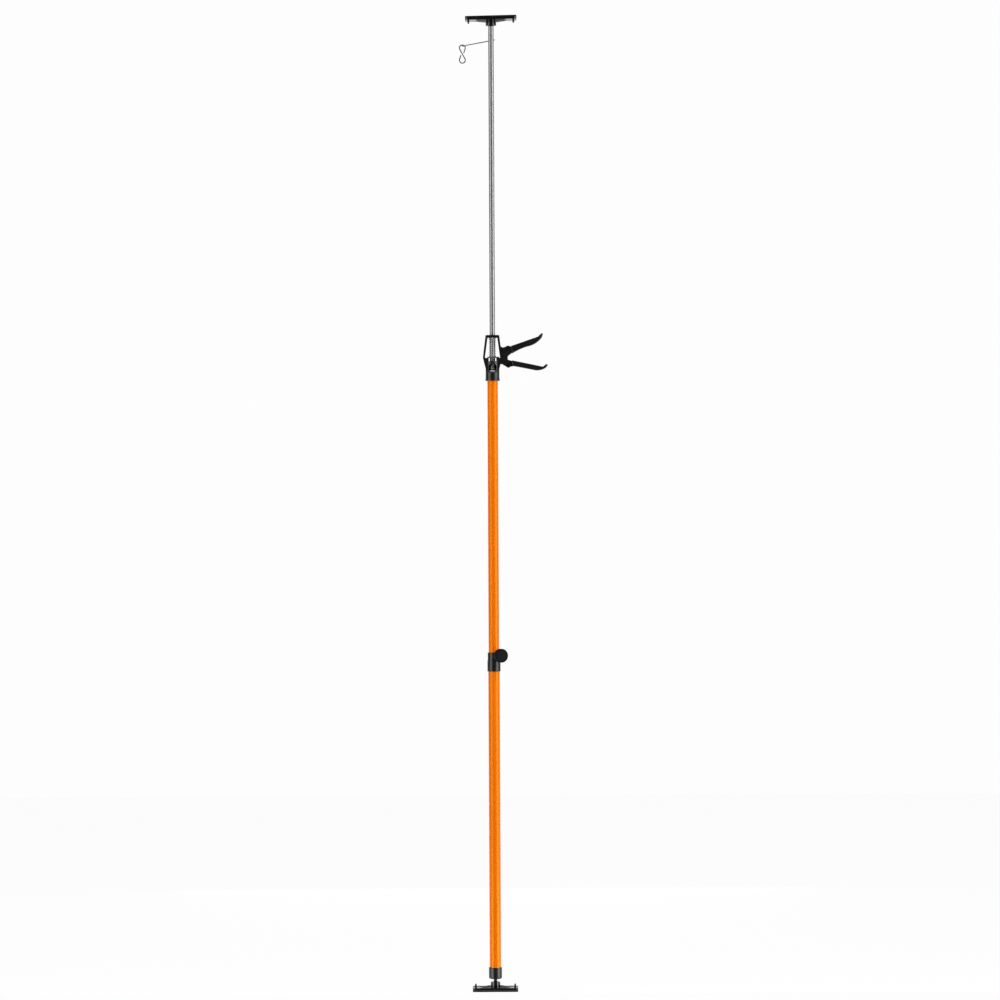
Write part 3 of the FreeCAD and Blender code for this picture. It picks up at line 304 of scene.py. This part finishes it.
# Grip: a moulded bracket riveted on the upper tube, a fixed handle pinned in it and a trigger on a pivot pin.
# Both handles are rounded mouldings of the same black plastic, and the pins are blackened steel.
dress(moulding, "grip_body", "trigger", "fixed_handle")
dress(dark_steel, "trigger_pin", "handle_pin", "socket_rivet")


# Drive: two punched, zinc-plated steel plates round the rod, each under a coil spring of zinc-plated wire.
# The coils are wound close at both ends.
WIRE_SIDES = 20
DOME_LIFTS = np.radians((75, 50, 25))
STEPS_IN_TURN = 40
CLOSE_TURNS = 1.2
END_PITCH = 0.001


def coil_path(radius, wire, low, high, turns):
    """Middle line of a coil round Z: at t from 0 to 1 the angle is 2 pi turns t, and the height is the pitch
    added up and scaled to run from low to high, half a wire inside both. The pitch is END_PITCH at the ends
    and opens to 1 with the square of the way through the CLOSE_TURNS turns next to each."""
    t = np.linspace(0, 1, int(turns * STEPS_IN_TURN) + 1)
    opened = np.minimum(1, np.minimum(t, 1 - t) * turns / CLOSE_TURNS)
    pitch = END_PITCH + opened ** 2
    climb = np.concatenate(([0.0], np.cumsum((pitch[1:] + pitch[:-1]) / 2)))
    height = low + wire / 2 + (high - low - wire) * climb / climb[-1]
    angle = 2 * math.pi * turns * t
    return np.stack((radius * np.cos(angle), radius * np.sin(angle), height), axis=1)


def wire_mesh(name, path, radius):
    """Round wire along a path: point (k, v) is P_k + radius (sin a_k T_k + cos a_k (cos v N_k + sin v B_k)).
    T is the path's direction, and N and B are carried along it without twist. The lift a is 0 along the path,
    and three more rings at each end lift to 75 degrees and close the wire in a small dome."""
    along = np.gradient(path, axis=0)
    along /= np.linalg.norm(along, axis=1)[:, None]
    side = np.cross(along[0], (0.0, 1.0, 0.001))
    sides = np.empty_like(path)
    for station, forward in enumerate(along):
        side = side - forward * side.dot(forward)
        side /= np.linalg.norm(side)
        sides[station] = side
    ends = ((len(DOME_LIFTS), len(DOME_LIFTS)), (0, 0))
    lift = np.concatenate((-DOME_LIFTS, np.zeros(len(path)), DOME_LIFTS[::-1]))[:, None]
    forward = np.pad(along, ends, mode="edge")
    normal = np.pad(sides, ends, mode="edge")
    other = np.cross(forward, normal)
    centre = np.pad(path, ends, mode="edge") + radius * np.sin(lift) * forward
    v = np.linspace(0, 2 * math.pi, WIRE_SIDES, endpoint=False)[:, None]
    round_it = np.cos(v) * normal[:, None] + np.sin(v) * other[:, None]
    points = centre[:, None] + (radius * np.cos(lift))[:, None] * round_it
    corner = np.arange(len(lift) * WIRE_SIDES).reshape(-1, WIRE_SIDES)
    after = np.roll(corner, -1, axis=1)
    quads = np.stack((corner[:-1], after[:-1], after[1:], corner[1:]), axis=-1).reshape(-1, 4)
    caps = [corner[0, ::-1].tolist(), corner[-1].tolist()]
    mesh = bpy.data.meshes.new(name)
    mesh.from_pydata(points.reshape(-1, 3).tolist(), [], quads.tolist() + caps)
    mesh.polygons.foreach_set("use_smooth", np.ones(len(mesh.polygons), dtype=bool))
    thing = bpy.data.objects.new(name, mesh)
    scene.collection.objects.link(thing)
    return thing


spring_wire = surface("spring_wire", (0.54, 0.54, 0.55), (0.66, 0.66, 0.67), (0.52, 0.62), metal=1.0,
                      scale=(200, 200, 200), grain=1500, bump=0.02)
# The lock plate gets the same zinc plating in a much lighter tone: a painted highlight for the light caught
# on its sloped top in the window.
zinc_with_painted_highlight = surface("zinc_with_painted_highlight", (0.62, 0.62, 0.63), (0.74, 0.74, 0.75), (0.46, 0.58), metal=1.0,
                      scale=(90, 90, 90), grain=900, bump=0.05)
dress(plate_steel, "drive_plate")
dress(zinc_with_painted_highlight, "lock_plate")
for node, wire, turns, joint, keep in (
    ("drive_spring", 0.0020, 9.5, "drive_lift", 0.79),
    ("lock_spring", 0.0012, 5.0, "lock_release", 0.93),
):
    low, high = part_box(node)
    radius = (high[1] - low[1]) / 2 - wire / 2
    coil = wire_mesh(node + "_coil", coil_path(radius, wire, low[2], high[2], turns), wire / 2)
    coil.data.materials.append(spring_wire)
    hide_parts(node)
    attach(coil, "upper")
    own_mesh(coil)


# Push rod: bright steel tube, ground lengthwise, on a nylon guide in the upper tube and through a nylon bush.
# A wire arm goes through it near the top and carries a loose S-hook in its eye.
rod_steel = surface("bright_rod", (0.25, 0.25, 0.255), (0.32, 0.32, 0.325), (0.38, 0.48), metal=1.0,
                    scale=(500, 500, 5), grain=1200, bump=0.02)
arm_wire = surface("arm_wire", (0.20, 0.20, 0.205), (0.27, 0.27, 0.275), (0.34, 0.46), metal=1.0,
                   scale=(40, 40, 40), grain=600, bump=0.01)
hook_wire = surface("hook_wire", (0.055, 0.055, 0.056), (0.09, 0.09, 0.091), (0.28, 0.40), metal=1.0,
                    scale=(40, 40, 40), grain=600, bump=0.01)
dress(rod_steel, "push_rod")
dress(nylon, "rod_guide", "rod_bush")
dress(arm_wire, "hook_arm")
dress(hook_wire, "s_hook")


# Head: the same build as the foot, a little larger, with its rubber face up.
# Its ball stud is plugged into the push rod's end, and the plate leans on the ball.
dress(smooth_moulding, "head_plate")
dress(sole_rubber, "head_pad")
dress(nylon, "head_ball_seat", "head_ball_liner")
dress(dark_steel, "head_ball_stud")
